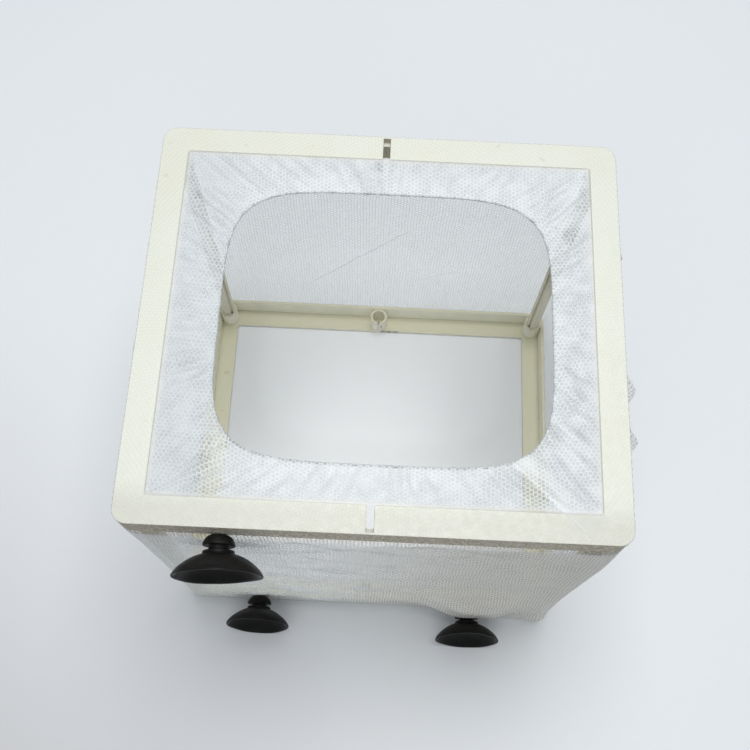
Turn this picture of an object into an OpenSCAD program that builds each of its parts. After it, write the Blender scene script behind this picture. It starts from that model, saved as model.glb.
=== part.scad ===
// Net breeding box for small fish: two moulded rims held apart by four round
// posts, a net bag drawn over the whole frame and closed over the top rim by an
// elastic mouth, and three mushroom-head suction cups pushed on pegs at the front.
//
// Frame: +X to the right, +Y to the back, +Z up, millimetres.
// Origin: on the base plane, under the centre of the rims.

/* [Box] */
// Width over the net, left to right
box_w = 165; // [130:1:220]
// Depth over the net, front to back
box_d = 147; // [110:1:200]
// Height over the net
box_h = 158; // [100:1:200]
// Outer corner radius of the rims
corner_r = 5; // [3:0.5:6]

/* [Rims] */
// Width of the flat flange of each rim
flange_w = 9.5; // [9.5:0.1:14]
// Wall thickness of flange and lip
rim_t = 1.4; // [1:0.1:2]
// Height of each rim, flange and lip together
lip_h = 10.5; // [8:0.5:14]

/* [Posts] */
// Diameter of a post
post_d = 6; // [4:0.1:6.2]
// Outer diameter of the post sockets and of the divider guides
socket_d = 8.4; // [8.2:0.1:9]
// Radial clearance of a post in its socket
post_clear = 0.05; // [0.02:0.01:0.1]
// Width of the groove along each post
groove_w = 1.1; // [0.6:0.1:1.6]
// Depth of the groove along each post
groove_depth = 0.9; // [0.4:0.1:1.4]

/* [Divider guides] */
// Bore of the guide near the middle of the front and back
guide_d = 6; // [4:0.1:6]
// Width of the slot in the upper guides and the flange over them
slot_w = 2.6; // [1.6:0.1:3]
// Width of the slit in the lower guides and the flange under them
slit_w = 0.8; // [0.6:0.1:1.6]
// Place of the guides, left (-) or right (+) of the middle
guide_x = -1; // [-5:0.5:5]

/* [Net] */
// Thickness of the net panels
net_t = 0.4; // [0.2:0.1:0.6]
// Half width of the mouth
mouth_hx = 58; // [40:1:64]
// Half depth of the mouth
mouth_hy = 50.5; // [35:0.5:56]
// Corner radius of the mouth
mouth_r = 22; // [10:1:30]
// How far the mouth hangs below the top
mouth_drop = 4.5; // [2:0.5:12]
// Diameter of the elastic in the mouth
elastic_d = 1.2; // [0.8:0.1:2]

/* [Suction cups] */
// Diameter of a cup
cup_d = 28.5; // [26:0.5:30]
// Height of the lower pegs over the base
peg_low = 13.5; // [13.4:0.1:20]
// Distance of the upper peg from the top
peg_top = 8.5; // [8:0.1:9]
// Place of the left pegs, from the middle
peg_left = 48.6; // [30:0.1:60]
// Place of the right peg, from the middle
peg_right = 44.4; // [30:0.1:60]
// Diameter of a peg
peg_d = 3; // [2:0.1:4]
// Length of a peg outside the net
peg_len = 5; // [4:0.1:5]
// How far the bottom right cup is drawn off its peg by the slack net behind it
cup_off = 2.3; // [0:0.1:2.5]
// How far the lower cups are bent upwards by the surface under them, in degrees
cup_bend = 7; // [0:1:8]

/* [Hidden] */

$fn = 64;
cream = [0.90, 0.89, 0.80];
net_white = [0.90, 0.93, 0.94, 0.6];
grey = [0.45, 0.45, 0.46];
black = [0.10, 0.10, 0.10];

// half sizes over the bare rims
hx = box_w / 2 - net_t;
hy = box_d / 2 - net_t;
// levels of the rims' outer flange faces
z_lo = net_t;
z_hi = box_h - net_t;
// centres of the post sockets and of the divider guides
sx = hx - rim_t - socket_d / 2 + 0.3;
sy = hy - rim_t - socket_d / 2 + 0.3;
// gap left between pieces that only lie beside each other
gap = 0.1;
// distance from a cup's tip to the middle of its neck, where it bends
neck_h = 4.2;

// rounded rectangle of half sizes ax and ay
module rrect(ax, ay, r) {
    square([2 * (ax - r), 2 * ay], center = true);
    square([2 * ax, 2 * (ay - r)], center = true);
    for (i = [-1, 1], j = [-1, 1])
        translate([i * (ax - r), j * (ay - r)]) circle(r = r);
}

// a peg on the front (-y) lip, at height z over the flange face
module peg(x, z) {
    translate([x, -hy + 0.5, z]) rotate([90, 0, 0]) cylinder(d = peg_d + 1.8, h = net_t + 0.5);
    translate([x, -hy + 0.8, z]) rotate([90, 0, 0]) cylinder(d = peg_d, h = net_t + 0.8 + peg_len);
}

// a tab on the front lip that carries a peg beyond the lip's edge
module tab(x, z) {
    translate([x, -hy + rim_t, 0]) rotate([90, 0, 0]) linear_extrude(height = rim_t)
        polygon([[-4.5, lip_h - 1], [4.5, lip_h - 1], [4.5, lip_h + 1], [3.6, z + 2],
                 [2.2, z + 3.4], [-2.2, z + 3.4], [-3.6, z + 2], [-4.5, lip_h + 1]]);
}

// One rim, drawn as the lower one: flange at z = 0, lip standing up, post
// sockets in the corners and a round divider guide at gx on the front and back,
// with a slit of width w from each guide towards the middle.
module rim(gx, w) {
    difference() {
        union() {
            // flange
            linear_extrude(height = rim_t) difference() {
                rrect(hx, hy, corner_r);
                rrect(hx - flange_w, hy - flange_w, 1.5);
            }
            // lip
            linear_extrude(height = lip_h) difference() {
                rrect(hx, hy, corner_r);
                rrect(hx - rim_t, hy - rim_t, corner_r - rim_t);
            }
            // sockets for the posts
            for (i = [-1, 1], j = [-1, 1])
                translate([i * sx, j * sy, 0]) cylinder(d = socket_d, h = lip_h);
            // guides for a divider
            for (j = [-1, 1])
                translate([gx, j * sy, 0]) cylinder(d = socket_d, h = lip_h - 0.6);
        }
        // post bores
        for (i = [-1, 1], j = [-1, 1])
            translate([i * sx, j * sy, rim_t]) cylinder(r = post_d / 2 + post_clear, h = lip_h);
        // divider guide bores
        for (j = [-1, 1])
            translate([gx, j * sy, rim_t]) cylinder(d = guide_d, h = lip_h);
        // slits, through guide and flange
        for (j = [-1, 1])
            translate([gx - w / 2, j > 0 ? sy - socket_d : -sy - 1, -1]) cube([w, socket_d + 1, rim_t + 1.2]);
        for (j = [-1, 1])
            translate([gx - w / 2, j > 0 ? sy - socket_d : -sy, -1]) cube([w, socket_d, lip_h + 2]);
    }
}

// The lower rim: its guides have only a narrow slit, and its pegs stand on tabs.
module bottom_frame() {
    color(cream) translate([0, 0, z_lo]) {
        rim(guide_x, slit_w);
        for (x = [-peg_left, peg_right]) {
            tab(x, peg_low - z_lo);
            peg(x, peg_low - z_lo);
        }
    }
}

// The upper rim: the same shape with its flange on top and wider slots, which
// run on outwards through the flange, and one peg on its lip.
module top_frame() {
    color(cream) difference() {
        union() {
            translate([0, 0, z_hi]) rotate([0, 180, 0]) rim(-guide_x, slot_w);
            peg(-peg_left, box_h - peg_top);
        }
        for (j = [-1, 1]) translate([guide_x - slot_w / 2, j > 0 ? sy - 1 : -hy + 0.7, z_hi - rim_t - 1.2])
            cube([slot_w, hy - 0.7 - sy + 1, rim_t + 2.2]);
    }
}

// a post between the flanges, with its groove turned to the middle of the box
module post(i, j) {
    z0 = z_lo + rim_t + gap / 2;
    color(cream) translate([i * sx, j * sy, z0]) difference() {
        cylinder(d = post_d, h = z_hi - rim_t - gap / 2 - z0);
        rotate([0, 0, atan2(-j, -i)])
            translate([post_d / 2 - groove_depth, -groove_w / 2, -1])
                cube([post_d, groove_w, box_h]);
    }
}
module post_front_left() { post(-1, -1); }
module post_front_right() { post(1, -1); }
module post_back_left() { post(-1, 1); }
module post_back_right() { post(1, 1); }

// ---- net bag, panel by panel ----

module net_base() {
    color(net_white) linear_extrude(height = net_t) rrect(hx + net_t, hy + net_t, corner_r + net_t);
}

// ring that stands around both rims, between the base and the collar
module net_wall() {
    translate([0, 0, net_t]) linear_extrude(height = box_h - 2 * net_t) difference() {
        rrect(hx + net_t, hy + net_t, corner_r + net_t);
        rrect(hx, hy, corner_r);
    }
}

// front panel, with both front corners and the holes that the pegs stand in
module net_front() {
    color(net_white) difference() {
        intersection() {
            net_wall();
            translate([-box_w, -box_d, 0]) cube([2 * box_w, box_d - hy + corner_r, box_h]);
        }
        for (p = [[-peg_left, peg_low], [peg_right, peg_low], [-peg_left, box_h - peg_top]])
            translate([p[0], -hy + 1, p[1]]) rotate([90, 0, 0])
                cylinder(d = peg_d + 2, h = net_t + 2);
    }
}
module net_back() {
    color(net_white) intersection() {
        net_wall();
        translate([-box_w, hy - corner_r, 0]) cube([2 * box_w, box_d, box_h]);
    }
}
module net_side(i) {
    color(net_white) translate([i > 0 ? hx : -hx - net_t, -hy + corner_r, net_t])
        cube([net_t, 2 * (hy - corner_r), box_h - 2 * net_t]);
}
module net_left() { net_side(-1); }
module net_right() { net_side(1); }

// net lying on the top rim's flange
module net_collar() {
    color(net_white) translate([0, 0, box_h - net_t]) linear_extrude(height = net_t) difference() {
        rrect(hx + net_t, hy + net_t, corner_r + net_t);
        rrect(hx - flange_w - gap, hy - flange_w - gap, 1.5);
    }
}

// solid funnel from the flange's inner edge down to the mouth
module funnel() {
    hull() {
        translate([0, 0, box_h - net_t]) linear_extrude(height = net_t)
            rrect(hx - flange_w - 0.3, hy - flange_w - 0.3, 1.5, $fn = 32);
        translate([0, 0, box_h - mouth_drop - net_t]) linear_extrude(height = net_t)
            rrect(mouth_hx, mouth_hy, mouth_r, $fn = 32);
    }
}
// sloping net between the flange and the mouth
module skirt() {
    difference() {
        funnel();
        translate([0, 0, net_t]) funnel();
        translate([0, 0, box_h - 2 * mouth_drop]) linear_extrude(height = 4 * mouth_drop)
            rrect(mouth_hx, mouth_hy, mouth_r, $fn = 32);
    }
}
// one of the four sides of the skirt, cut along the mitre lines of the corners
module skirt_side(a) {
    k = hx - hy;
    r = 2 * box_w;
    color(net_white) intersection() {
        skirt();
        translate([0, 0, box_h / 2]) linear_extrude(height = box_h) rotate(a)
            polygon(a % 180 == 0
                ? [[k / 2, 0], [k / 2 + r, -r], [k / 2 + r, r]]
                : [[0, -k / 2], [0, k / 2], [r, k / 2 + r], [r, -k / 2 - r]]);
    }
}
module net_skirt_right() { skirt_side(0); }
module net_skirt_back() { skirt_side(90); }
module net_skirt_left() { skirt_side(180); }
module net_skirt_front() { skirt_side(270); }

// elastic cord in the hem of the mouth
module mouth_elastic() {
    ex = mouth_hx - gap - elastic_d / 2;
    ey = mouth_hy - gap - elastic_d / 2;
    er = mouth_r - gap - elastic_d / 2;
    color(grey) translate([0, 0, box_h - mouth_drop]) {
        for (j = [-1, 1]) {
            translate([-(ex - er), j * ey, 0]) rotate([0, 90, 0])
                cylinder(d = elastic_d, h = 2 * (ex - er), $fn = 24);
            translate([j * ex, ey - er, 0]) rotate([90, 0, 0])
                cylinder(d = elastic_d, h = 2 * (ey - er), $fn = 24);
        }
        for (q = [0 : 3]) {
            i = (q == 0 || q == 3) ? 1 : -1;
            j = q < 2 ? 1 : -1;
            translate([i * (ex - er), j * (ey - er), 0]) intersection() {
                rotate_extrude($fn = 96) translate([er, 0]) circle(d = elastic_d, $fn = 24);
                rotate([0, 0, 90 * q]) translate([0, 0, -elastic_d]) cube([2 * er, 2 * er, 2 * elastic_d]);
            }
        }
    }
}

// ---- suction cups ----

// Mushroom head, drawn with its tip at z = 0 and pointing down.
module cup_head() {
    rotate_extrude() polygon([
        [0, 0], [2.4, 0], [3.4, 0.35], [4.3, 1.1], [4.9, 2.1], [5.25, 3.0], [5.3, 3.4],
        [4.7, 3.6], [3.3, 3.2], [3.3, neck_h], [0, neck_h]]);
}
// Neck, collar and dome, bent about the middle of the neck.
module cup_dome() {
    k = cup_d / 29.5;
    rotate_extrude() polygon([
        [0, neck_h], [3.3, neck_h], [3.3, 5.1], [4.9, 5.1], [5.2, 5.35], [5.2, 6.05], [4.95, 6.3],
        [5.6, 6.35], [7.9 * k, 7.15], [10.4 * k, 8.55], [12.5 * k, 10.15], [14.1 * k, 11.9],
        [14.75 * k, 12.85], [14.75 * k, 13.3], [13.5 * k, 13.3],
        [13.0 * k, 12.4], [11.5 * k, 10.8], [9.4 * k, 9.5], [6.9 * k, 8.75], [4 * k, 8.4], [0, 8.3]]);
}
// A cup on its peg: x and z of the peg, the bend of its dome, and how far it is drawn off.
module suction_cup(x, z, bend, off) {
    color(black) translate([x, -hy - net_t - 0.3 - off, z]) rotate([90, 0, 0])
        difference() {
            union() {
                cup_head();
                translate([0, 0, neck_h]) sphere(r = 3.4);
                translate([0, 0, neck_h]) rotate([-bend, 0, 0]) translate([0, 0, -neck_h]) cup_dome();
            }
            translate([0, 0, -1]) cylinder(r = peg_d / 2 + 0.05, h = 6);
        }
}
module suction_cup_top_left() { suction_cup(-peg_left, box_h - peg_top, 0, 0); }
module suction_cup_bottom_left() { suction_cup(-peg_left, peg_low, cup_bend, 0); }
module suction_cup_bottom_right() { suction_cup(peg_right, peg_low, cup_bend, cup_off); }

top_frame();
bottom_frame();
post_front_left();
post_front_right();
post_back_left();
post_back_right();
net_base();
net_front();
net_back();
net_left();
net_right();
net_collar();
net_skirt_front();
net_skirt_back();
net_skirt_left();
net_skirt_right();
mouth_elastic();
suction_cup_top_left();
suction_cup_bottom_left();
suction_cup_bottom_right();
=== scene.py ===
"""Looks of a net breeding box for small fish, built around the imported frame. Metres; the shapes below are worked out in millimetres."""
import math

import bpy
import numpy as np
from mathutils import Euler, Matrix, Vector


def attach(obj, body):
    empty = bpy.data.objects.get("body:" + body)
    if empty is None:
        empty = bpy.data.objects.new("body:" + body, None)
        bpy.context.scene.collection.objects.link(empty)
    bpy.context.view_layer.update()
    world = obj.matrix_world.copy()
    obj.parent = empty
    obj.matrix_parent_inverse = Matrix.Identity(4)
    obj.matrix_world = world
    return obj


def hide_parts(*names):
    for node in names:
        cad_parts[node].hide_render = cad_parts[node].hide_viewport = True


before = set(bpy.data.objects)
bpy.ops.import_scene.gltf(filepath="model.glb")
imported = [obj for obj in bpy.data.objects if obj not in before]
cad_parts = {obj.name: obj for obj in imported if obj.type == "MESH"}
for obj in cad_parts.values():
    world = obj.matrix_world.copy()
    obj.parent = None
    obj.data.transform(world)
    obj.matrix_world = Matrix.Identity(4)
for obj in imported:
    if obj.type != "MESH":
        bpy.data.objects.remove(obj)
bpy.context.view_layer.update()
MM = 0.001
scene = bpy.context.scene

# ---------------------------------------------------------------- camera, floor and light
cam_data = bpy.data.cameras.new("camera")
cam = bpy.data.objects.new("camera", cam_data)
scene.collection.objects.link(cam)
cam.location = Vector((-1.5702, -133.9286, 457.1488)) * MM
cam.rotation_euler = Euler((0.3634, -0.0164, 0.0430), "XYZ")
cam_data.sensor_width = 36
cam_data.lens = 46.51
cam_data.clip_start, cam_data.clip_end = 0.01, 20
scene.camera = cam

scene.view_settings.view_transform = "Standard"
scene.view_settings.look = "None"
scene.view_settings.exposure = 0
scene.view_settings.gamma = 1
scene.cycles.transparent_max_bounces = 32
scene.cycles.diffuse_bounces = 6
scene.cycles.max_bounces = 8


def area_light(name, place, target, size, power, colour):
    data = bpy.data.lights.new(name, "AREA")
    data.shape, data.size, data.energy, data.color = "DISK", size, power, colour
    lamp = bpy.data.objects.new(name, data)
    scene.collection.objects.link(lamp)
    lamp.location = place
    lamp.rotation_euler = (Vector(target) - Vector(place)).to_track_quat("-Z", "Y").to_euler()


area_light("overhead_soft", (0.06, 0.19, 1.30), (0.0, 0.0, 0.08), 0.72, 12.3, (1.0, 0.995, 0.985))
area_light("front_fill", (-0.12, -0.72, 1.05), (0.0, 0.0, 0.08), 0.8, 2.2, (1.0, 0.99, 0.98))
# a narrow beam through the mouth, from over the front, that reaches the base and the back wall
beam = bpy.data.lights.new("mouth_beam", "SPOT")
beam.energy, beam.color, beam.spot_size, beam.spot_blend, beam.shadow_soft_size = 10.0, (1.0, 1.0, 1.0), math.radians(6.4), 0.7, 0.05
beam_lamp = bpy.data.objects.new("mouth_beam", beam)
scene.collection.objects.link(beam_lamp)
beam_lamp.location = (0.0, -0.42, 1.25)
beam_lamp.rotation_euler = (Vector((0.0, 0.002, 0.10)) - beam_lamp.location).to_track_quat("-Z", "Y").to_euler()

world = bpy.data.worlds.new("studio")
scene.world = world
world.use_nodes = True
background = world.node_tree.nodes["Background"]
background.inputs["Color"].default_value = (0.89, 0.95, 1.0, 1)
background.inputs["Strength"].default_value = 0.44


# ---------------------------------------------------------------- node helpers
class Graph:
    """Short names for building a material's nodes."""

    def __init__(self, name):
        self.material = bpy.data.materials.new(name)
        self.material.use_nodes = True
        self.tree = self.material.node_tree
        self.shader = self.tree.nodes["Principled BSDF"]

    def put(self, value, socket):
        if isinstance(value, (int, float)):
            socket.default_value = value
        elif isinstance(value, tuple):
            socket.default_value = value
        else:
            self.tree.links.new(value, socket)

    def math(self, op, a, b=None, c=None, clamp=False):
        node = self.tree.nodes.new("ShaderNodeMath")
        node.operation, node.use_clamp = op, clamp
        for i, x in enumerate((a, b, c)):
            if x is not None:
                self.put(x, node.inputs[i])
        return node.outputs[0]

    def vec(self, op, a, b=None, scale=None):
        node = self.tree.nodes.new("ShaderNodeVectorMath")
        node.operation = op
        self.put(a, node.inputs[0])
        if b is not None:
            self.put(b, node.inputs[1])
        if scale is not None:
            self.put(scale, node.inputs["Scale"])
        return node.outputs["Value"] if op in ("LENGTH", "DOT_PRODUCT") else node.outputs["Vector"]

    def split(self, vector):
        node = self.tree.nodes.new("ShaderNodeSeparateXYZ")
        self.put(vector, node.inputs[0])
        return node.outputs[0], node.outputs[1], node.outputs[2]

    def noise(self, vector, scale, detail=2.0, rough=0.5, out="Fac", kind="3D"):
        node = self.tree.nodes.new("ShaderNodeTexNoise")
        node.noise_dimensions = kind
        self.put(vector, node.inputs["Vector"])
        node.inputs["Scale"].default_value = scale
        node.inputs["Detail"].default_value = detail
        node.inputs["Roughness"].default_value = rough
        return node.outputs[out]

    def ramp(self, value, low, high, to_low=0.0, to_high=1.0, smooth=True):
        node = self.tree.nodes.new("ShaderNodeMapRange")
        node.interpolation_type = "SMOOTHSTEP" if smooth else "LINEAR"
        self.put(value, node.inputs["Value"])
        for name, x in (("From Min", low), ("From Max", high), ("To Min", to_low), ("To Max", to_high)):
            self.put(x, node.inputs[name])
        return node.outputs["Result"]

    def blend(self, share, a, b):
        node = self.tree.nodes.new("ShaderNodeMix")
        node.data_type = "RGBA"
        self.put(share, node.inputs[0])
        for x, socket in ((a, node.inputs[6]), (b, node.inputs[7])):
            self.put((*x, 1.0) if isinstance(x, tuple) and len(x) == 3 else x, socket)
        return node.outputs[2]

    def bump(self, height, distance, strength=1.0, normal=None):
        node = self.tree.nodes.new("ShaderNodeBump")
        self.put(height, node.inputs["Height"])
        node.inputs["Distance"].default_value = distance
        self.put(strength, node.inputs["Strength"])
        if normal is not None:
            self.put(normal, node.inputs["Normal"])
        return node.outputs[0]

    def place(self):
        node = self.tree.nodes.new("ShaderNodeTexCoord")
        return node.outputs["Object"]

    def geometry(self, name):
        return self.tree.nodes.new("ShaderNodeNewGeometry").outputs[name]

    def rounded(self, radius):
        node = self.tree.nodes.new("ShaderNodeBevel")
        node.samples = 4
        node.inputs["Radius"].default_value = radius
        return node.outputs[0]

    def set(self, **sockets):
        for name, value in sockets.items():
            self.put(value, self.shader.inputs[name.replace("_", " ")])
        return self.material


# ---------------------------------------------------------------- floor
g = Graph("paper_floor")
where = g.place()
tone = g.ramp(g.noise(where, 2.2, 3), 0.3, 0.7)
fx, fy, _ = g.split(where)
# painted shade: the floor is darker towards the front left
painted_floor_shade = g.ramp(g.math("ADD", g.math("MULTIPLY", fx, 0.55), g.math("MULTIPLY", fy, 0.83)), -0.30, -0.03, 0.95, 0.0)
g.set(Base_Color=g.blend(painted_floor_shade, g.blend(tone, (0.671, 0.689, 0.712), (0.685, 0.703, 0.721)), (0.455, 0.45, 0.465)), Roughness=0.75,
      Normal=g.bump(g.noise(where, 900, 3), 0.0001, 0.3))
g.shader.inputs["Specular IOR Level"].default_value = 0.2
floor_material = g.material
floor_mesh = bpy.data.meshes.new("floor")
SIDE = 4.0
floor_mesh.from_pydata([(-SIDE, -SIDE, 0), (SIDE, -SIDE, 0), (SIDE, SIDE, 0), (-SIDE, SIDE, 0)], [], [(0, 1, 2, 3)])
floor = bpy.data.objects.new("floor", floor_mesh)
scene.collection.objects.link(floor)
floor.data.materials.append(floor_material)


# ---------------------------------------------------------------- materials
def cream_plastic(name, base, worn, stain, upright_shading, share, marks=(), painted_shade=None, outside=None):
    """Moulded cream plastic, slightly yellowed and blotchy, with a fine satin grain and softened edges.
    Its upright faces are tinted towards the fourth colour as far as share says: painted shading, darker or lighter than
    the plastic as that colour is. Marks are thin dark lines: x from, x to, y from, y to, z from, z to, in millimetres.
    Painted shade along an axis is given as an axis, a place from, a place to, a colour and a share: the plastic grows
    darker along it.
    Outside is a half width and half depth: within them, the upright faces get no painted shading and keep the plastic's
    own colour."""
    g = Graph(name)
    where = g.place()
    cloud = g.noise(where, 28, 4, 0.6)
    fine = g.noise(where, 420, 3, 0.55)
    old = g.ramp(cloud, 0.38, 0.68)
    tint = g.blend(g.math("MULTIPLY", old, 0.7), base, worn)
    speck = g.ramp(g.noise(where, 260, 1, 0.5), 0.70, 0.78)
    tint = g.blend(g.math("MULTIPLY", speck, 0.35), tint, stain)
    # painted shade: the plastic grows darker along one axis
    if painted_shade:
        axis, low, high, grey, most = painted_shade
        tint = g.blend(g.ramp(g.split(where)[axis], low * MM, high * MM, 0.0, most), tint, grey)
    # painted shading on the upright faces: painted shade on the top rim and the posts, painted light on the bottom rim
    _, _, up = g.split(g.geometry("True Normal"))
    side = g.ramp(g.math("ABSOLUTE", up), 0.25, 0.75, share, 0.0)
    if outside:
        x, y, _ = g.split(where)
        reach = g.math("MAXIMUM", g.math("MULTIPLY", g.math("ABSOLUTE", x), 1 / (outside[0] * MM)), g.math("MULTIPLY", g.math("ABSOLUTE", y), 1 / (outside[1] * MM)))
        side = g.math("MULTIPLY", side, g.ramp(reach, 0.97, 1.0))
    tint = g.blend(g.math("MULTIPLY", side, g.ramp(g.noise(where, 60, 3, 0.6), 0.25, 0.70, 0.7, 1.0)), tint, upright_shading)
    if marks:
        x, y, z = g.split(where)
        ragged = g.noise(where, 700, 2, 0.6)
        for x0, x1, y0, y1, z0, z1 in marks:
            inside = 1.0
            for value, low, high in ((x, x0, x1), (y, y0, y1), (z, z0, z1)):
                far = g.math("ABSOLUTE", g.math("SUBTRACT", value, (low + high) / 2 * MM))
                edge = (high - low) / 2 * MM
                inside = g.math("MULTIPLY", inside, g.ramp(far, edge - 0.00035, edge + 0.00025, 1.0, 0.0))
            mark = g.math("MULTIPLY", inside, g.ramp(ragged, 0.35, 0.62, 0.15, 0.85))
            tint = g.blend(mark, tint, (0.16, 0.14, 0.10))
    rough = g.ramp(fine, 0.3, 0.7, 0.40, 0.56)
    soft = g.rounded(0.00035)
    flow = g.noise(where, 65, 2, 0.5)
    height = g.math("ADD", g.math("MULTIPLY", fine, 0.25), flow)
    g.set(Base_Color=tint, Roughness=rough, Normal=g.bump(height, 0.00022, 0.35, soft))
    g.shader.inputs["Specular IOR Level"].default_value = 0.40
    g.shader.inputs["Subsurface Weight"].default_value = 0.0
    return g.material


def tulle(name):
    """Knitted net with six-sided holes. The map Weave gives the cloth's own millimetres, so the holes keep their size in the folds."""
    g = Graph(name)
    uv = g.tree.nodes.new("ShaderNodeUVMap")
    uv.uv_map = "Weave"
    cloth = uv.outputs[0]
    u, v, _ = g.split(cloth)
    # the threads wander a little
    drift = g.vec("SUBTRACT", g.noise(cloth, 0.06, 1, 0.5, "Color"), (0.5, 0.5, 0.5))
    shake = g.vec("SUBTRACT", g.noise(cloth, 0.5, 1, 0.5, "Color"), (0.5, 0.5, 0.5))
    p = g.vec("ADD", cloth, g.vec("SCALE", drift, scale=0.9))
    p = g.vec("ADD", p, g.vec("SCALE", shake, scale=0.42))
    p = g.vec("SCALE", p, scale=1 / PITCH)
    h = (0.8660254, 0.5, 0.5)

    def cell(q):
        # the rows of holes run up the cloth
        y, x, _ = g.split(q)
        x = g.math("WRAP", x, 0.5, -0.5)
        y = g.math("WRAP", y, 0.8660254, -0.8660254)
        return x, y

    ax, ay = cell(p)
    bx, by = cell(g.vec("SUBTRACT", p, h))
    la = g.math("ADD", g.math("MULTIPLY", ax, ax), g.math("MULTIPLY", ay, ay))
    lb = g.math("ADD", g.math("MULTIPLY", bx, bx), g.math("MULTIPLY", by, by))
    near_a = g.math("LESS_THAN", la, lb)
    near_b = g.math("SUBTRACT", 1.0, near_a)
    x = g.math("ABSOLUTE", g.math("ADD", g.math("MULTIPLY", ax, near_a), g.math("MULTIPLY", bx, near_b)))
    y = g.math("ABSOLUTE", g.math("ADD", g.math("MULTIPLY", ay, near_a), g.math("MULTIPLY", by, near_b)))
    slant = g.math("ADD", g.math("MULTIPLY", x, 0.5), g.math("MULTIPLY", y, 0.8660254))
    # the holes are nearly round; upright sides are twisted double and so a little wider than the slanting ones
    hexagon = g.math("MAXIMUM", x, g.math("SUBTRACT", slant, 0.012))
    circle = g.math("SQRT", g.math("ADD", g.math("MULTIPLY", x, x), g.math("MULTIPLY", y, y)))
    d = g.math("ADD", g.math("MULTIPLY", hexagon, 0.62), g.math("MULTIPLY", circle, 0.36))
    # where the cloth is: the skirt hangs inside the rim, the collar lies on it, the lip is the band against the rim's edge
    px, py, pz = g.split(g.place())
    reach = g.math("MAXIMUM", g.math("MULTIPLY", g.math("ABSOLUTE", px), 1 / (72.6 * MM)), g.math("MULTIPLY", g.math("ABSOLUTE", py), 1 / (63.6 * MM)))
    skirt = g.math("MULTIPLY", g.ramp(reach, 0.985, 1.0, 1.0, 0.0), g.ramp(pz, 147.5 * MM, 149.0 * MM))
    off_skirt = g.math("SUBTRACT", 1.0, skirt)
    collar = g.math("MULTIPLY", off_skirt, g.ramp(pz, 157.35 * MM, 157.6 * MM))
    lip = g.math("MULTIPLY", g.math("MULTIPLY", off_skirt, g.ramp(pz, 157.35 * MM, 157.6 * MM, 1.0, 0.0)), g.math("MULTIPLY", g.ramp(pz, 146.2 * MM, 147.8 * MM), g.ramp(py, -72.5 * MM, -71.0 * MM, 1.0, 0.0)))
    bent = g.math("MULTIPLY", g.math("MULTIPLY", g.ramp(reach, 0.968, 0.988), g.ramp(reach, 0.999, 1.004, 1.0, 0.0)), g.ramp(pz, 149 * MM, 151 * MM))
    # the front is bunched, and more so towards the right, where its colour also gets painted shade: u runs from the
    # middle of the front
    round_u = g.math("WRAP", u, L_ROUND / 2, -L_ROUND / 2)
    front_wall = g.math("MULTIPLY", g.ramp(g.math("ABSOLUTE", round_u), 85, 92, 1.0, 0.0), g.math("MULTIPLY", g.ramp(pz, 2 * MM, 8 * MM), g.ramp(pz, 144 * MM, 147.5 * MM, 1.0, 0.0)))
    close = g.math("MULTIPLY", front_wall, g.ramp(round_u, -45, 55))
    half = g.ramp(g.noise(cloth, 0.11, 2, 0.6), 0.30, 0.72, 0.098, 0.130)
    streak = g.math("SUBTRACT", g.noise(g.vec("MULTIPLY", cloth, (0.42, 0.06, 1.0)), 1.0, 2, 0.6), 0.5)
    half = g.math("ADD", half, g.math("MULTIPLY", skirt, g.math("ADD", 0.015, g.math("MULTIPLY", streak, 0.12))))
    half = g.math("ADD", half, g.math("ADD", g.math("MULTIPLY", front_wall, 0.045), g.math("MULTIPLY", close, 0.02)))
    half = g.math("ADD", half, g.math("MULTIPLY", lip, 0.02))
    base = g.ramp(pz, 0.4 * MM, 0.9 * MM, 1.0, 0.0)
    behind = g.math("MULTIPLY", g.ramp(py, 70 * MM, 72 * MM), g.ramp(pz, 145 * MM, 150 * MM, 1.0, 0.0))
    half = g.math("SUBTRACT", half, g.math("MULTIPLY", behind, 0.024))
    edge = g.math("SUBTRACT", 0.49, half)
    inside = g.math("DIVIDE", g.math("SUBTRACT", d, edge), half)
    round_ = g.math("SQRT", g.math("MINIMUM", g.math("MAXIMUM", inside, 0.0), 1.0))
    thread = g.math("GREATER_THAN", d, edge)
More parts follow.
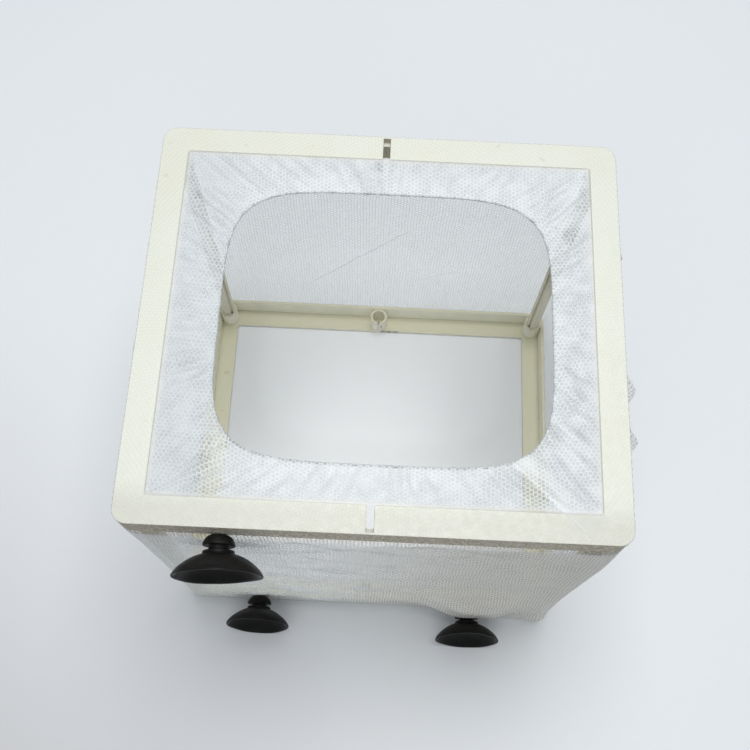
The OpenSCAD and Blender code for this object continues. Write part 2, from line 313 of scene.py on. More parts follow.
    # pressed creases, where the threads lie together; their darker colour is painted shade
    wave = g.math("MULTIPLY", g.math("SUBTRACT", g.noise(cloth, 0.12, 1, 0.5), 0.5), 3.0)
    crease = 0.0
    for u0, v0, u1, v1, width, strength in CREASES:
        length = math.hypot(u1 - u0, v1 - v0)
        du, dv = (u1 - u0) / length, (v1 - v0) / length
        pu, pv = g.math("SUBTRACT", u, u0), g.math("SUBTRACT", v, v0)
        along = g.math("ADD", g.math("MULTIPLY", pu, du), g.math("MULTIPLY", pv, dv))
        across = g.math("ADD", g.math("SUBTRACT", g.math("MULTIPLY", pu, -dv), g.math("MULTIPLY", pv, -du)), wave)
        on = g.math("MULTIPLY", g.ramp(along, 0, length * 0.25), g.ramp(along, length * 0.75, length, 1.0, 0.0))
        line = g.math("MULTIPLY", g.ramp(g.math("ABSOLUTE", across), width * 0.5, width, 1.0, 0.0), g.math("MULTIPLY", on, strength))
        crease = g.math("MAXIMUM", crease, line)
    cover = g.math("ADD", 0.62, g.math("SUBTRACT", g.math("MULTIPLY", skirt, 0.10), g.math("MULTIPLY", base, 0.14)))
    far_left = g.math("MULTIPLY", front_wall, g.ramp(round_u, -82, -58, 1.0, 0.0))
    cover = g.math("SUBTRACT", cover, g.math("MULTIPLY", far_left, 0.16))
    cover = g.math("ADD", cover, g.math("SUBTRACT", g.math("MULTIPLY", front_wall, 0.20), g.math("MULTIPLY", collar, 0.575)))
    speck = g.ramp(g.noise(g.vec("MULTIPLY", cloth, (0.55, 0.75, 1.0)), 1.0, 2, 0.6), 0.35, 0.62)
    cover = g.math("ADD", cover, g.math("SUBTRACT", g.math("MULTIPLY", lip, g.math("SUBTRACT", g.math("MULTIPLY", speck, 0.45), 0.38)), g.math("MULTIPLY", behind, 0.22)))
    patch = g.ramp(g.noise(g.vec("MULTIPLY", cloth, (0.13, 0.10, 1.0)), 1.0, 3, 0.6), 0.34, 0.66)
    # the weave is pulled open over both front posts
    open_left = g.math("MULTIPLY", g.ramp(g.math("ABSOLUTE", g.math("ADD", px, 52 * MM)), 3.5 * MM, 8 * MM, 1.0, 0.0), g.ramp(py, -46 * MM, -38 * MM, 1.0, 0.0))
    open_right = g.math("MULTIPLY", g.ramp(g.math("ABSOLUTE", g.math("SUBTRACT", px, 51 * MM)), 2.5 * MM, 6 * MM, 1.0, 0.0), g.ramp(py, -54 * MM, -48 * MM, 1.0, 0.0))
    opened = g.math("MULTIPLY", skirt, g.math("MAXIMUM", open_left, open_right))
    # the pleat at the front right: the cloth lies double on its right side
    dx, dy = g.math("SUBTRACT", px, PLEAT[0][0] * MM), g.math("SUBTRACT", py, PLEAT[0][1] * MM)
    off = g.math("ADD", g.math("MULTIPLY", dx, 0.709 / MM), g.math("MULTIPLY", dy, 0.705 / MM))
    off = g.math("ADD", off, g.math("MULTIPLY", g.math("SUBTRACT", g.noise(g.place(), 90, 2, 0.5), 0.5), 2.4))
    along = g.math("SUBTRACT", g.math("MULTIPLY", dx, 0.705 / MM), g.math("MULTIPLY", dy, 0.709 / MM))
    run = g.math("MULTIPLY", g.math("MULTIPLY", g.ramp(along, -3, 1), g.ramp(along, 31, 37, 1.0, 0.0)), g.ramp(pz, 152 * MM, 153.5 * MM))
    double = g.math("MULTIPLY", run, g.math("MULTIPLY", g.ramp(off, -0.4, 0.0), g.ramp(off, 2.5, 10, 1.0, 0.0)))
    ridge = g.math("MULTIPLY", run, g.math("MULTIPLY", g.ramp(g.math("ABSOLUTE", off), 0.15, 0.75, 1.0, 0.0), g.ramp(g.noise(g.place(), 260, 2, 0.6), 0.30, 0.60, 0.35, 1.0)))
    veil = g.math("ADD", g.math("ADD", g.math("MULTIPLY", front_wall, 0.18), g.math("MULTIPLY", close, 0.44)), g.math("MULTIPLY", skirt, g.math("ADD", 0.30, g.math("MULTIPLY", patch, 0.28))))
    veil = g.math("ADD", veil, g.math("MULTIPLY", bent, 0.20))
    veil = g.math("ADD", veil, g.math("SUBTRACT", g.math("MULTIPLY", double, g.ramp(collar, 0, 1, 0.10, 0.12)), g.math("MULTIPLY", opened, 0.30)))
    veil = g.math("ADD", veil, g.math("ADD", g.math("MULTIPLY", base, 0.54), g.math("MULTIPLY", behind, 0.12)))
    alpha = g.math("MAXIMUM", g.math("MAXIMUM", g.math("MULTIPLY", thread, cover), veil), g.math("MAXIMUM", crease, g.math("MULTIPLY", ridge, 0.30)))
    fibre = g.noise(g.vec("MULTIPLY", cloth, (6.0, 6.0, 1.0)), 1.0, 2, 0.6)
    shade = g.ramp(g.math("ADD", g.math("MULTIPLY", round_, 0.6), g.math("MULTIPLY", fibre, 0.4)), 0.1, 0.9)
    tint = g.blend(shade, (0.84, 0.865, 0.88), (0.95, 0.965, 0.975))
    # painted light: the base's threads whiter than the rest of the net
    tint = g.blend(g.math("MULTIPLY", base, 0.8), tint, (0.97, 0.98, 0.985))
    # painted shade: the skirt's threads greyer than the rest of the net, in patches
    tint = g.blend(skirt, tint, g.blend(g.math("MULTIPLY", g.math("ADD", patch, shade), 0.5), (0.595, 0.625, 0.642), (0.725, 0.752, 0.764)))
    # painted shade: the skirt darker still towards the left
    tint = g.blend(g.math("MULTIPLY", skirt, g.ramp(px, -60 * MM, -44 * MM, 0.6, 0.0)), tint, (0.565, 0.60, 0.615))
    # painted shade: the threads of the front wall, more so at its right, and of the lip darker and warmer
    tint = g.blend(g.math("MAXIMUM", g.math("MULTIPLY", front_wall, 0.12), g.math("MAXIMUM", g.math("MULTIPLY", close, 0.75), g.math("MULTIPLY", lip, 0.75))), tint, (0.745, 0.725, 0.665))
    tint = g.blend(g.math("MULTIPLY", collar, 0.9), tint, (0.73, 0.725, 0.665))
    tint = g.blend(g.math("MULTIPLY", bent, 0.45), tint, (0.68, 0.675, 0.635))
    tint = g.blend(g.math("MULTIPLY", double, 0.6), tint, (0.74, 0.755, 0.76))
    tint = g.blend(g.math("MULTIPLY", ridge, 0.6), tint, (0.84, 0.85, 0.85))
    # painted shade: the lip band brown and speckled, for the rim's shaded lip behind the net
    tint = g.blend(g.math("MULTIPLY", lip, 0.85), tint, g.blend(speck, (0.58, 0.51, 0.39), (0.79, 0.755, 0.67)))
    # painted shade: the holes at the right of the front filled dark brown-grey
    tint = g.blend(g.math("MULTIPLY", close, g.math("SUBTRACT", 1.0, thread)), tint, (0.57, 0.545, 0.49))
    # painted shade: the creases darker
    tint = g.blend(g.math("MULTIPLY", crease, 0.8), tint, (0.50, 0.52, 0.52))
    g.set(Base_Color=tint, Roughness=g.ramp(fibre, 0.3, 0.7, 0.45, 0.62),
          Normal=g.bump(round_, 0.00014, g.math("SUBTRACT", g.math("SUBTRACT", 0.9, g.math("MULTIPLY", base, 0.8)), g.math("ADD", g.math("ADD", g.math("MULTIPLY", collar, 0.8), g.math("MULTIPLY", front_wall, 0.45)), g.math("MULTIPLY", skirt, 0.62)))), Alpha=alpha)
    g.shader.inputs["Specular IOR Level"].default_value = 0.30
    g.shader.inputs["Sheen Weight"].default_value = 0.2
    g.shader.inputs["Sheen Roughness"].default_value = 0.4
    g.shader.inputs["Sheen Tint"].default_value = (1, 1, 1, 1)
    return g.material


def rubber(name):
    """Black soft rubber with a faint bloom and moulding grain."""
    g = Graph(name)
    where = g.place()
    bloom = g.ramp(g.noise(where, 150, 4, 0.6), 0.4, 0.75)
    fine = g.noise(where, 1500, 2, 0.5)
    g.set(Base_Color=g.blend(bloom, (0.0055, 0.0053, 0.0050), (0.0115, 0.0110, 0.0100)),
          Roughness=g.ramp(bloom, 0.0, 1.0, 0.40, 0.58),
          Normal=g.bump(g.math("ADD", g.math("MULTIPLY", fine, 0.2), g.noise(where, 220, 2)), 0.00012, 0.3))
    g.shader.inputs["Specular IOR Level"].default_value = 0.13
    return g.material


def covered_elastic(name):
    """Covered elastic: wound yarn with lighter and darker turns, grey along the front and back and nearly white at the sides."""
    g = Graph(name)
    uv = g.tree.nodes.new("ShaderNodeUVMap")
    uv.uv_map = "Wind"
    u, v, _ = g.split(uv.outputs[0])
    turns = g.math("FRACT", g.math("ADD", g.math("MULTIPLY", u, 1 / 0.9), v))
    band = g.math("ABSOLUTE", g.math("SUBTRACT", turns, 0.5))
    patch = g.ramp(g.noise(uv.outputs[0], 0.35, 2), 0.40, 0.62)
    tone = g.math("ADD", g.math("MULTIPLY", band, 0.9), g.math("MULTIPLY", patch, 0.5))
    tint = g.blend(g.ramp(tone, 0.0, 0.9), (0.17, 0.17, 0.17), (0.52, 0.53, 0.54))
    x, _, _ = g.split(g.place())
    side = g.ramp(g.math("ABSOLUTE", g.math("SUBTRACT", x, 0.0014)), 0.046, 0.0555)
    g.set(Base_Color=g.blend(side, tint, (0.74, 0.76, 0.77)),
          Roughness=g.ramp(band, 0.0, 0.5, 0.6, 0.8),
          Normal=g.bump(band, 0.0001, 0.7))
    g.shader.inputs["Specular IOR Level"].default_value = 0.25
    return g.material


# ---------------------------------------------------------------- the net bag
PITCH = 1.45         # hole to hole
PLEAT = ((44.0, -46.8), (60.6, -63.5), (69.8, -73.2))
N = 360              # columns round the bag
Q = N // 4
HX, HY, RC = 82.24, 73.24, 5.14       # the cloth's middle surface, outside the rims
EX, EY, ER = 72.55, 63.55, 0.9        # inner edge of the top rim
HEM_X, HEM_Y, HEM_A, HEM_B, HEM_N = 1.4, 0.8, 57.6, 50.7, 4.6   # mouth
HEM_Z = 153.6
TOP = 157.68         # the cloth on the rim
FLOOR = 0.10         # the cloth under the rim
THICK = 0.12
L_ROUND = 244 * math.sqrt(3) * PITCH
# pressed creases in the cloth, in its own millimetres: from, to, half width, how dense and how dark (painted shade)
CREASES = [
    (L_ROUND / 2 + 41.0, 28.0, L_ROUND / 2 - 19.0, 101.0, 0.32, 0.32),
    (L_ROUND / 2 - 13.0, 41.0, L_ROUND / 2 - 36.0, 57.0, 0.28, 0.24),
    (L_ROUND / 2 - 2.0, 128.0, L_ROUND / 2 - 22.0, 133.0, 0.28, 0.22),
]


def by_length(points, count):
    """count + 1 points, evenly spaced by length, along a polyline."""
    step = np.hypot(*np.diff(points, axis=0).T)
    at = np.concatenate([[0], np.cumsum(step)])
    want = np.linspace(0, at[-1], count + 1)
    return np.stack([np.interp(want, at, points[:, k]) for k in (0, 1)], 1)


def rounded_loop(hx, hy, r, cx=0.0, cy=0.0):
    t = np.linspace(0, math.pi / 2, 60)
    arc = np.stack([hx - r + r * np.sin(t), -(hy - r + r * np.cos(t))], 1)
    quarter = by_length(np.concatenate([[[0, -hy]], arc, [[hx, 0]]]), Q)
    up = quarter[::-1] * [1, -1]
    half = np.concatenate([quarter[:-1], up[:-1]])
    return np.concatenate([half, -half]) + [cx, cy]


def super_loop(a, b, n, cx, cy):
    t = np.linspace(0, math.pi / 2, 400)
    curve = np.stack([a * np.abs(np.sin(t)) ** (2 / n), -b * np.abs(np.cos(t)) ** (2 / n)], 1)
    quarter = by_length(curve, Q)
    up = quarter[::-1] * [1, -1]
    half = np.concatenate([quarter[:-1], up[:-1]])
    return np.concatenate([half, -half]) + [cx, cy]


def outward(loop):
    t = np.roll(loop, -1, 0) - np.roll(loop, 1, 0)
    n = np.stack([t[:, 1], -t[:, 0]], 1)
    n /= np.linalg.norm(n, axis=1)[:, None]
    for _ in range(2):
        n = n + np.roll(n, 1, 0) + np.roll(n, -1, 0)
        n /= np.linalg.norm(n, axis=1)[:, None]
    return n


def bell(x, centre, width):
    return np.exp(-(((x - centre) / width) ** 2))


def step(x, a, b):
    t = np.clip((x - a) / (b - a), 0, 1)
    return t * t * (3 - 2 * t)


def wrinkle(rng, s, v, count, round_mm, along_mm):
    """A smooth random field of about unit size: s is the way round in mm, v the way up the cloth."""
    out = np.zeros(np.broadcast(s, v).shape)
    for _ in range(count):
        k = max(1, round(L_ROUND / rng.uniform(*round_mm))) * rng.choice((-1, 1))
        m = rng.choice((-1, 1)) / rng.uniform(*along_mm)
        out += np.cos(2 * math.pi * (k * s / L_ROUND + m * v) + rng.uniform(0, 2 * math.pi))
    return out / math.sqrt(count / 2)


rng = np.random.default_rng(7)
col = np.arange(N)
s_mm = col / N * L_ROUND
CORNER = round(0.529 * Q)      # the column at the front right corner
wall_loop = rounded_loop(HX, HY, RC)
edge_loop = rounded_loop(EX, EY, ER)
hem_loop = super_loop(HEM_A, HEM_B, HEM_N, HEM_X, HEM_Y)
wall_out = outward(wall_loop)
hem_out = outward(hem_loop)

front = step(-wall_loop[:, 1], 71.5, 73.2) * (wall_loop[:, 1] < 0)
right = step(wall_loop[:, 0], 80.5, 82.2) * (wall_loop[:, 0] > 0)
left = step(-wall_loop[:, 0], 80.5, 82.2) * (wall_loop[:, 0] < 0)
back = step(wall_loop[:, 1], 71.5, 73.2) * (wall_loop[:, 1] > 0)

# Folds that run over the rim: side mask, place along the side, half width, how far they stand out of the wall, how far down they reach
PUCKERS = [
    (right, 1, 30.6, 2.2, 2.0, 7), (right, 1, -19.0, 4.6, 4.1, 15), (right, 1, -37.0, 3.7, 4.0, 13), (right, 1, 8.0, 5.0, 0.6, 14),
    (right, 1, 55.0, 3.5, 0.5, 12), (left, 1, 27.9, 2.0, 1.3, 9), (left, 1, -12.0, 3.6, 1.7, 12), (left, 1, -48.0, 5.0, 0.6, 14),
    (left, 1, 8.0, 4.0, 0.4, 12), (back, 0, 12.6, 2.6, 1.5, 9), (back, 0, -38.0, 4.0, 0.5, 10), (back, 0, 47.0, 4.0, 0.6, 10),
    (front, 0, -30.0, 4.0, 0.3, 9), (front, 0, 33.0, 5.0, 0.3, 9),
]


def pucker(sharp=1.0):
    """How much each column lies in a fold over the rim."""
    return sum(m * bell(wall_loop[:, k], at, w * sharp) * a for m, k, at, w, a, _ in PUCKERS)


rows, row_uv = [], []          # each row: N points


def wall_row(v):
    """One row of the wall, v millimetres of cloth above the base."""
    free = step(v, 12, 46) * (1 - step(v, 108, 146))
    loop = rounded_loop(HX, HY, RC + 0.9 * free)
    span = step(v, 9, 30) * (1 - step(v, 132, 147))
    d = (0.12 + 0.10 * (left + right)) * span * wrinkle(np.random.default_rng(11), s_mm, v, 12, (26, 80), (60, 160))
    f = np.random.default_rng(12)
    slack_front = front * step(v, 4, 16) * (1 - step(v, 140, 148)) * (1 - step(np.abs(wall_loop[:, 0]), 62, 79))
    d += slack_front * (0.45 * wrinkle(f, s_mm, v, 10, (40, 110), (14, 34)) + 0.35)
    d += slack_front * 0.34 * wrinkle(f, s_mm, v, 12, (18, 60), (8, 13))
    # the cloth draws in between the rims
    d -= 0.7 * np.sin(math.pi * np.clip((v - 8) / 142, 0, 1)) * (left + right + back)
    z = np.full(N, float(v))
    x = wall_loop[:, 0]
    # a fold over the upper left of the front, from the post down to the middle and up again
    for xa, va, xb, vb, deep in ((-70, 150, -24, 134, 0.9), (-24, 134, 4, 147, 0.8)):
        length = math.hypot(xb - xa, vb - va)
        ux, uv_ = (xb - xa) / length, (vb - va) / length
        along = (x - xa) * ux + (v - va) * uv_
        off = -(x - xa) * uv_ + (v - va) * ux
        d += front * deep * np.exp(-np.abs(off) / 2.2) * step(along, -4, 6) * (1 - step(along, length - 8, length + 4)) * (1 - step(v, 143, 149))
    # slack that hangs over the lower right of the front, over the cup's head
    slack = front * step(x, 12, 44) * (1 - 0.42 * step(x, 52, 66)) * (1 - step(x, 72, 82.0))
    d += slack * 6.9 * step(v, 19.5, 27) * (1 - step(v, 27, 66))
    z -= slack * 5.6 * step(v, 19, 29) * (1 - step(v, 32, 72))
    d += front * 0.8 * (1 - step(v, 149, 157.0)) * step(v, 128, 146) * (1 - step(np.abs(x), 74, 81))
    low = front * step(x, 46, 56) * (1 - step(x, 76, 82.2))
    d += low * 4.2 * bell(v, 8.0, 9.0) * step(v, 0.3, 4.5)
    # and stands off the corner there
    d += 1.9 * bell(col, CORNER, 5.5) * step(v, 0.3, 5) * (1 - step(v, 112, 152))
    # folds that stand out below the rim's edge
    for m, k, at, w, a, reach in PUCKERS:
        ramp = step(v, 156 - 1.6 * reach, 150.5) * (1 - step(v, 151.5, 157.2)) if 156 - 1.6 * reach < 150 else 0.0
        d += m * a * bell(wall_loop[:, k], at, w * (1 + 0.015 * max(0.0, 152 - v))) * ramp
    p = loop + outward(loop) * d[:, None]
    return np.column_stack([p, z])


wall_heights = [0.5, 1.4, 3.0, 5.0, 7.0, 9.0, 11.0, 13.0] + list(np.arange(15.3, 142, 2.45)) + [144.2, 146.6, 148.6, 150.2, 151.6, 153.0, 154.4, 155.8, 156.9, 157.45]
base_edge = np.column_stack([rounded_loop(HX - 0.45, HY - 0.45, RC - 0.4), np.full(N, FLOOR)])
rows.append(base_edge)
for v in wall_heights:
    rows.append(wall_row(v))

# PLEAT, at the front right, runs aslant from the hem to the rim, and on over the collar to the rim's corner



def pleat_lift(x, y, a, b, deep):
    length = math.hypot(b[0] - a[0], b[1] - a[1])
    ux, uy = (b[0] - a[0]) / length, (b[1] - a[1]) / length
    along = (x - a[0]) * ux + (y - a[1]) * uy
    off = (x - a[0]) * uy - (y - a[1]) * ux
    shape = np.where(off > 0, np.exp(-off / 0.7), np.exp(off / 4.0))
    return deep * shape * step(along, -3, 4) * (1 - step(along, length - 1, length + 5))


# the collar, flat on the rim but for the faint folds that cross it
fold = pucker(0.6)
for share in (0.03, 0.12, 0.30, 0.50, 0.70, 0.87, 1.0):
    flat = wall_loop * (1 - share) + edge_loop * share
    lift = 0.11 * fold * math.sin(math.pi * min(share * 1.1, 1))
    lift = lift + 0.035 * np.clip(wrinkle(np.random.default_rng(21), s_mm, share * 9.8, 10, (9, 34), (12, 40)), 0, None)
    lift = lift + pleat_lift(flat[:, 0], flat[:, 1], PLEAT[1], PLEAT[2], 0.14)
    rows.append(np.column_stack([flat, TOP + lift]))

# the skirt, gathered into the hem
SKIRT = 15
corner_span = np.linalg.norm(hem_loop - edge_loop, axis=1)
slope_z = TOP - (HEM_Z + 0.35)
gather_rng = np.random.default_rng(31)
more = 0.50 + 0.60 * right + 0.35 * left + 0.20 * front
more = np.convolve(np.concatenate([more[-20:], more, more[:20]]), np.ones(15) / 15, "same")[20:-20]
tangent = np.stack([-hem_out[:, 1], hem_out[:, 0]], 1)
plan = {len(rows) - 1: edge_loop}      # the skirt's rows as they lie in plan, before they wander
for j in range(1, SKIRT + 1):
    t = j / SKIRT
    flat = edge_loop * (1 - t) + hem_loop * t
    vv = t * 15.0
    g1 = wrinkle(np.random.default_rng(31), s_mm, vv, 14, (6.6, 11.0), (28, 90))
    g2 = wrinkle(np.random.default_rng(32), s_mm, vv, 12, (10, 22), (7, 16))
    amp = (0.18 + 0.82 * math.sin(math.pi * (0.12 + 0.80 * t)) ** 0.8) * step(t, -0.05, 0.35)
    lift = more * amp * (0.48 * g1 + 0.26 * g2)
    lift = lift + fold * 0.20 * math.sin(math.pi * t)
    z = TOP - slope_z * t - 0.5 * math.sin(math.pi * t) + lift
    plan[len(rows)] = flat
    side = 0.28 * more * amp * wrinkle(np.random.default_rng(33), s_mm, vv, 12, (7, 16), (9, 30))
    flat = flat + tangent * side[:, None]
    z = z + pleat_lift(flat[:, 0], flat[:, 1], PLEAT[0], PLEAT[1], 0.95) * step(t, -0.1, 0.25)
    rows.append(np.column_stack([flat, np.maximum(z, 150.0)]))

# the hem, rolled round the elastic
roll_r = 0.45
for angle in (70, 0, -70, -150):
    a = math.radians(angle)
    ripple = 0.05 * wrinkle(np.random.default_rng(41), s_mm, 0.0, 10, (4.5, 7.5), (50, 90))
    rr = roll_r + ripple
    p = hem_loop - hem_out * (rr * math.cos(a))[:, None]
    rows.append(np.column_stack([p, HEM_Z + rr * math.sin(a)]))

P = np.array(rows)                     # row, column, xyz
R = len(rows)
dist = np.linalg.norm(np.diff(P, axis=0), axis=2)
V = np.concatenate([np.zeros((1, N)), np.cumsum(dist, axis=0)])

# base panel: a grid between the four sides
CA = CORNER
corners = [CA, 2 * Q - CA, 2 * Q + CA, 4 * Q - CA]
nx, ny = 2 * CA, 2 * (Q - CA)
idx_front = [(corners[3] + k) % N for k in range(nx + 1)]
idx_right = [(corners[0] + k) % N for k in range(ny + 1)]
idx_back = [(corners[2] - k) % N for k in range(nx + 1)]
idx_left = [(corners[3] - k) % N for k in range(ny + 1)]
verts = [tuple(p) for p in P.reshape(-1, 3)]
grid = np.full((nx + 1, ny + 1), -1)
grid[:, 0], grid[:, ny] = idx_front, idx_back
grid[0, :], grid[nx, :] = idx_left, idx_right
B = P[0]
fr, bk, lf, rt = B[idx_front], B[idx_back], B[idx_left], B[idx_right]
uu, ww = np.meshgrid(np.linspace(0, 1, nx + 1), np.linspace(0, 1, ny + 1), indexing="ij")
tfi = ((1 - ww)[..., None] * fr[:, None] + ww[..., None] * bk[:, None] + (1 - uu)[..., None] * lf[None] + uu[..., None] * rt[None]
       - ((1 - uu) * (1 - ww))[..., None] * fr[0] - (uu * (1 - ww))[..., None] * fr[-1]
       - ((1 - uu) * ww)[..., None] * bk[0] - (uu * ww)[..., None] * bk[-1])
tfi[..., 2] = FLOOR
for a in range(1, nx):
    for b in range(1, ny):
        grid[a, b] = len(verts)
        verts.append(tuple(tfi[a, b]))

faces, uvs = [], []
edge_row, hem_row = min(plan), max(plan)


def skirt_weave(j, i, side):
    """The skirt is gathered, so its weave keeps its size in plan. Each side is cut square to its own rim."""
    x, y = plan[min(j, hem_row)][i]
    more = V[j, i] - V[hem_row, i] if j > hem_row else 0.0
    return (x + 6000 + 300 * side, y + more) if side % 2 == 0 else (y + 6000 + 300 * side, x + more)


for j in range(R - 1):
    for i in range(N):
        k = (i + 1) % N
        if j >= edge_row:
            side = 0 if i < corners[0] or i >= corners[3] else 1 if i < corners[1] else 2 if i < corners[2] else 3
            faces.append((j * N + i, j * N + k, (j + 1) * N + k, (j + 1) * N + i))
            uvs += [skirt_weave(j, i, side), skirt_weave(j, k, side), skirt_weave(j + 1, k, side), skirt_weave(j + 1, i, side)]
            continue
        faces.append((j * N + i, j * N + k, (j + 1) * N + k, (j + 1) * N + i))
        u0, u1 = i / N * L_ROUND, (i + 1) / N * L_ROUND
        uvs += [(u0, V[j, i]), (u1, V[j, k]), (u1, V[j + 1, k]), (u0, V[j + 1, i])]
for a in range(nx):
    for b in range(ny):
        quad = (grid[a, b], grid[a, b + 1], grid[a + 1, b + 1], grid[a + 1, b])
        faces.append(tuple(int(q) for q in quad))
        for q in quad:
            uvs.append((verts[q][0] + 1000.0, verts[q][1] + 500.0))

mesh = bpy.data.meshes.new("net_bag")
mesh.from_pydata([tuple(c * MM for c in p) for p in verts], [], faces)
layer = mesh.uv_layers.new(name="Weave")
layer.data.foreach_set("uv", np.array(uvs, np.float32).ravel())
mesh.polygons.foreach_set("use_smooth", [True] * len(faces))
mesh.update()
net = bpy.data.objects.new("net_bag", mesh)
scene.collection.objects.link(net)
net.data.materials.append(tulle("white_tulle"))
thick = net.modifiers.new("thread", "SOLIDIFY")
thick.thickness, thick.offset, thick.use_rim, thick.use_even_offset = THICK * MM, 0.0, True, False
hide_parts(*[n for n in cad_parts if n.startswith("net_")])
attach(net, "box")


# ---------------------------------------------------------------- the elastic in the hem
def tube_loop(centre, out2d, radius, sides, start, turns_mm, offset):
    """One strand of a twisted cord along a closed loop: rings of points that wind round the cord's centre."""
    n = len(centre)
    length = np.concatenate([[0], np.cumsum(np.linalg.norm(np.diff(np.vstack([centre, centre[:1]]), axis=0), axis=1))])
    total = length[-1]
    turns = round(total / turns_mm)
    pts, uv = [], []
    up = np.array([0, 0, 1.0])
    for i in range(n):
        o = np.array([out2d[i, 0], out2d[i, 1], 0.0])
        w = start + 2 * math.pi * turns * length[i] / total
        mid = centre[i] + offset * (o * math.cos(w) + up * math.sin(w))
        for k in range(sides):
            a = 2 * math.pi * k / sides + w
            pts.append(mid + radius * (o * math.cos(a) + up * math.sin(a)))
            uv.append((length[i], k / sides))
    return pts, uv, total


def strand_mesh(name, strands, sides, n):
    verts, faces, uvs = [], [], []
    for pts, uv, total in strands:
        base = len(verts)
        verts += [tuple(p * MM) for p in pts]
        for i in range(n):
            j = (i + 1) % n
            for k in range(sides):
                m = (k + 1) % sides
                faces.append((base + i * sides + k, base + i * sides + m, base + j * sides + m, base + j * sides + k))
                u0, u1 = uv[i * sides][0], (uv[j * sides][0] if j else total)
                v0, v1 = k / sides, (k + 1) / sides
                uvs += [(u0, v0), (u0, v1), (u1, v1), (u1, v0)]
    mesh = bpy.data.meshes.new(name)
    mesh.from_pydata(verts, [], faces)
    mesh.uv_layers.new(name="Wind").data.foreach_set("uv", np.array(uvs, np.float32).ravel())
    mesh.polygons.foreach_set("use_smooth", [True] * len(faces))
    mesh.update()
    ob = bpy.data.objects.new(name, mesh)
    scene.collection.objects.link(ob)
    return ob


fine_n = N * 3
closed = np.vstack([hem_loop, hem_loop[:1]])
fine_loop = by_length(closed, fine_n)[:-1]
fine_out = outward(fine_loop)
line = np.column_stack([fine_loop, np.full(fine_n, HEM_Z)])
strands = [tube_loop(line, fine_out, 0.17, 7, ph, 2.3, 0.155) for ph in (0.0, math.pi)]
elastic = strand_mesh("hem_elastic", strands, 7, fine_n)
elastic.data.materials.append(covered_elastic("grey_elastic"))
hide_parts("mouth_elastic")
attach(elastic, "box")


# ---------------------------------------------------------------- suction cups
def smooth_profile(points, every):
    """The profile with its long spans filled in, so that the curve between given points is round. A point given twice stays a corner."""
    out = [points[0]]
    for i in range(len(points) - 1):
        p0 = np.array(points[max(i - 1, 0)][:2], float)
        p1 = np.array(points[i][:2], float)
        p2 = np.array(points[i + 1][:2], float)
        p3 = np.array(points[min(i + 2, len(points) - 1)][:2], float)
        if points[i][2]:
            p0 = p1 - (p2 - p1)
        if points[i + 1][2]:
            p3 = p2 + (p2 - p1)
        n = max(1, int(np.linalg.norm(p2 - p1) / every))
        for k in range(1, n + 1):
            t = k / n
            q = 0.5 * ((2 * p1) + (p2 - p0) * t + (2 * p0 - 5 * p1 + 4 * p2 - p3) * t * t + (3 * p1 - p0 - 3 * p2 + p3) * t ** 3)
            out.append((max(0.0, q[0]), q[1], 0))
    return [(q[0], q[1]) for q in out]


# radius, distance from the tip of the head, 1 where the profile has a corner
CUP = [(0, 5.0, 1), (1.55, 5.0, 1), (1.55, 0.12, 1), (1.7, 0, 1), (2.35, 0, 0), (2.9, 0.12, 0), (3.55, 0.45, 0), (4.25, 1.05, 0), (4.85, 2.0, 0), (5.2, 2.9, 0),
       (5.32, 3.3, 0), (5.2, 3.56, 0), (4.7, 3.62, 0), (3.9, 3.4, 0), (3.42, 3.3, 0), (3.3, 3.5, 0), (3.26, 4.2, 0), (3.32, 4.85, 0), (3.6, 5.08, 0), (4.6, 5.1, 0),
       (5.05, 5.2, 0), (5.2, 5.45, 0), (5.2, 5.9, 0), (5.1, 6.15, 0), (5.0, 6.3, 0), (5.55, 6.4, 0), (6.5, 6.68, 0), (7.63, 7.15, 0), (8.9, 7.8, 0), (10.05, 8.55, 0), (11.1, 9.32, 0),
       (12.08, 10.15, 0), (12.95, 11.02, 0), (13.62, 11.9, 0), (14.1, 12.7, 0), (14.27, 13.05, 0), (14.2, 13.28, 0), (13.95, 13.33, 0), (13.5, 13.27, 0), (13.05, 13.05, 0), (12.56, 12.4, 0),
       (11.1, 10.8, 0), (9.08, 9.5, 0), (6.67, 8.75, 0), (3.86, 8.4, 0), (0, 8.3, 1)]
SIDES = 112


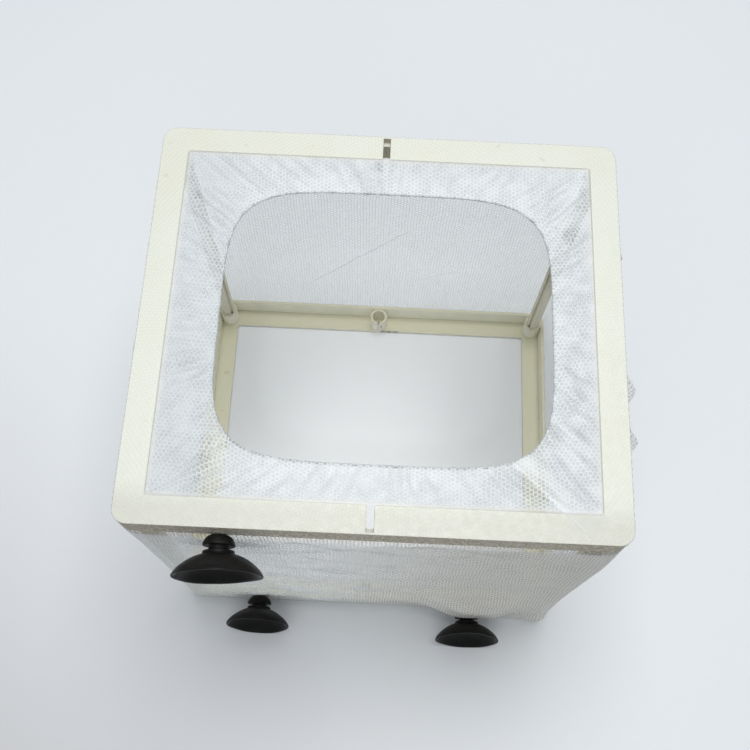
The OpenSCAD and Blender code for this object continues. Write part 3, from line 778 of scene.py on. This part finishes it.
def suction_cup(name, cx, cz, off, bend_deg, yaw_deg, wide, seed, notch_deg):
    """A mushroom-head cup on a peg: tip at y = -73.8 - off, cup towards -Y. Its neck gives a little and its lip waves, as soft rubber does."""
    profile = smooth_profile(CUP, 0.45)
    rnd = np.random.default_rng(seed)
    phase = rnd.uniform(0, 6.28, 4)
    verts, faces, ring = [], [], []
    bend, yaw = math.radians(bend_deg), math.radians(yaw_deg)
    for r, h in profile:
        if r < 1e-6:
            ring.append([len(verts)])
            spokes = [0.0]
        else:
            ring.append(list(range(len(verts), len(verts) + SIDES)))
            spokes = [2 * math.pi * k / SIDES for k in range(SIDES)]
        lip = max(0.0, (r - 8.7) / 5.6) ** 2 if h > 6 else 0.0
        grow = 1 + (wide - 1) * (min(max((r - 5.0) / 4.0, 0.0), 1.0) if h > 6.2 else 0.0)
        for a in spokes:
            wave = 0.20 * math.sin(2 * a + phase[0]) + 0.12 * math.sin(3 * a + phase[1]) + 0.05 * math.sin(7 * a + phase[2])
            rr = r * grow * (1 + 0.006 * lip * math.sin(2 * a + phase[3]))
            gap = math.atan2(math.sin(a - math.radians(notch_deg)), math.cos(a - math.radians(notch_deg)))
            nick = 0.55 * math.exp(-(gap / 0.035) ** 2) * max(0.0, (r - 13.1) / 1.2)
            rr -= nick
            hh = h + lip * wave * 0.8
            x, y, z = rr * math.cos(a), -hh, rr * math.sin(a)
            t = min(max((h - 3.6) / 1.3, 0.0), 1.0)
            ease = t * t * (3 - 2 * t)
            ang, turn = bend * ease, yaw * ease
            dy, dz = y + 4.2, z
            y1 = dy * math.cos(ang) + dz * math.sin(ang)
            z2 = -dy * math.sin(ang) + dz * math.cos(ang)
            x2 = x * math.cos(turn) - y1 * math.sin(turn)
            y2 = x * math.sin(turn) + y1 * math.cos(turn) - 4.2
            verts.append(((cx + x2) * MM, (-73.8 - off + y2) * MM, (cz + z2) * MM))
    for a, b in zip(ring, ring[1:]):
        for k in range(SIDES):
            m = (k + 1) % SIDES
            if len(a) == 1 and len(b) == 1:
                continue
            if len(a) == 1:
                faces.append((a[0], b[m], b[k]))
            elif len(b) == 1:
                faces.append((a[k], a[m], b[0]))
            else:
                faces.append((a[k], a[m], b[m], b[k]))
    mesh = bpy.data.meshes.new(name)
    mesh.from_pydata(verts, [], faces)
    mesh.polygons.foreach_set("use_smooth", [True] * len(faces))
    mesh.update()
    ob = bpy.data.objects.new(name, mesh)
    scene.collection.objects.link(ob)
    return ob


black = rubber("black_rubber")
for name, node, body, cx, cz, off, bend, yaw, wide, seed, notch in (
        ("cup_top_left", "suction_cup_top_left", "cup_top_left", -48.6, 149.5, 0.0, 0.0, 3.0, 1.02, 3, -6.0),
        ("cup_bottom_left", "suction_cup_bottom_left", "cup_bottom_left", -48.6, 13.5, 0.0, 7.0, 0.0, 0.965, 5, 12.0),
        ("cup_bottom_right", "suction_cup_bottom_right", "cup_bottom_right", 44.4, 13.5, 2.3, 7.0, 0.0, 0.985, 8, 160.0)):
    cup = suction_cup(name, cx, cz, off, bend, yaw, wide, seed, notch)
    cup.data.materials.append(black)
    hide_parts(node)
    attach(cup, body)

# ---------------------------------------------------------------- the rims and posts keep their CAD shape
# The two rims are one plastic. Painted shade: the top rim darker along its front, and its outer upright faces brown.
top_plastic = cream_plastic("cream_rim", (0.595, 0.607, 0.543), (0.58, 0.58, 0.498), (0.50, 0.41, 0.28), (0.43, 0.37, 0.25), 0.92, painted_shade=(1, -58.0, -68.0, (0.505, 0.508, 0.45), 0.9), outside=(78.0, 69.0))
# painted light: the bottom rim is a lighter, yellower copy of the same plastic, with lighter upright faces; painted
# shade: its back flange darker and browner
low_plastic = cream_plastic("cream_rim_low", (0.70, 0.68, 0.52), (0.68, 0.65, 0.47), (0.50, 0.40, 0.26), (0.93, 0.92, 0.80), 0.92, painted_shade=(1, 54.0, 64.0, (0.56, 0.54, 0.40), 0.9),
                            marks=((0.2, 9.5, 62.9, 64.0, 0.3, 2.4), (0.2, 0.75, 62.6, 64.6, 1.6, 9.5)))
# painted shade: the posts' upper parts darker, their upright faces browner
post_plastic = cream_plastic("cream_post", (0.80, 0.78, 0.65), (0.76, 0.73, 0.58), (0.55, 0.46, 0.32), (0.62, 0.59, 0.47), 0.5,
                             painted_shade=(2, 48.0, 78.0, (0.33, 0.30, 0.22), 0.9))
for node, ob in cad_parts.items():
    if node in ("top_frame", "bottom_frame") or node.startswith("post_"):
        made = {"top_frame": top_plastic, "bottom_frame": low_plastic}.get(node, post_plastic)
        if not ob.data.materials:
            ob.data.materials.append(made)
        for k in range(len(ob.data.materials)):
            ob.data.materials[k] = made
